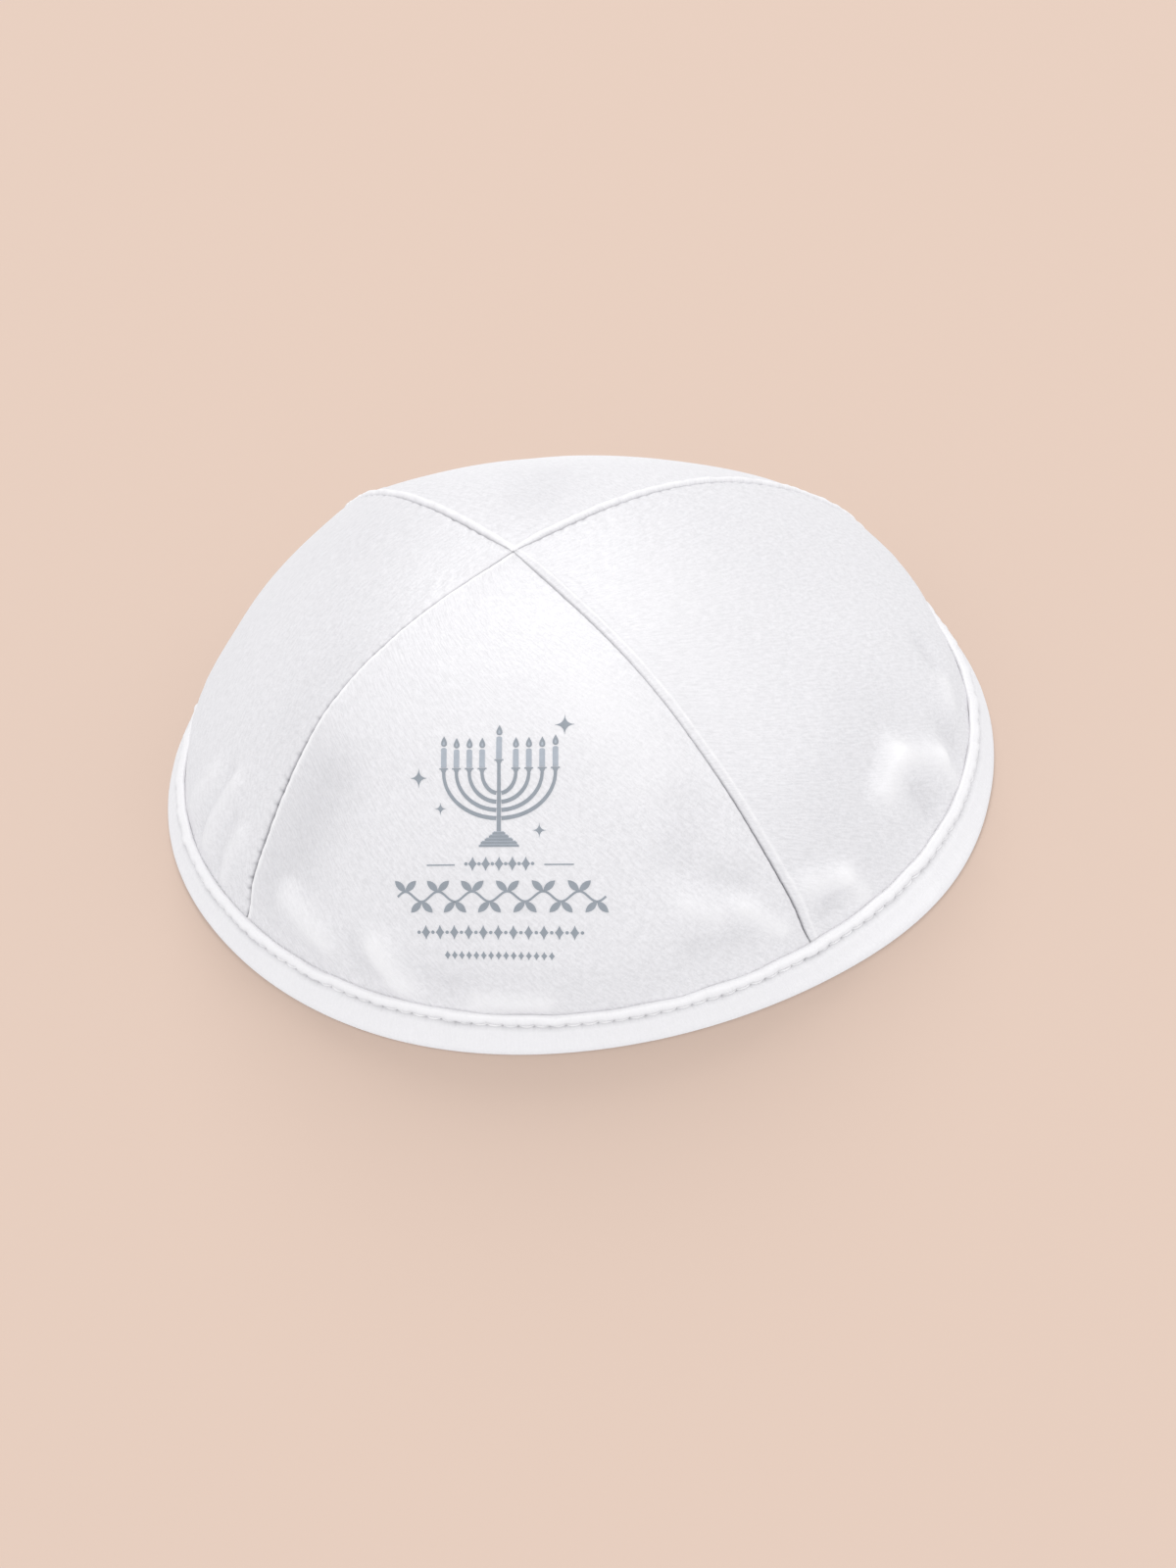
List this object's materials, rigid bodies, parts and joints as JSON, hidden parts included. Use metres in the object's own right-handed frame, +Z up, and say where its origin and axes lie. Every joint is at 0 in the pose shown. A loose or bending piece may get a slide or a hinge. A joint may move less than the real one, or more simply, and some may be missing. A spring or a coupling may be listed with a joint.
{
  "type": "kippah skullcap",
  "caption": "Satin skullcap sewn from curved panels that meet at a crossing, with a folded strip stitched round its rim.",
  "frame": {"origin": "middle of the rim, on the surface that the cap rests on", "axes": "+Z up through the crown, -Y towards the panel that carries the print, +X to its wearer's left"},
  "size_m": [0.168, 0.168, 0.0552],
  "materials": {
    "satin": "white polyester satin, fine weave with a soft sheen",
    "binding": "white satin bias strip, folded over the rim and stitched with white thread",
    "print": "silver-grey ornament printed on the satin"
  },
  "bodies": {
    "root": {"panel_front": "satin", "panel_right": "satin", "panel_back": "satin", "panel_left": "satin", "rim_binding": "binding"}
  },
  "joints": []
}
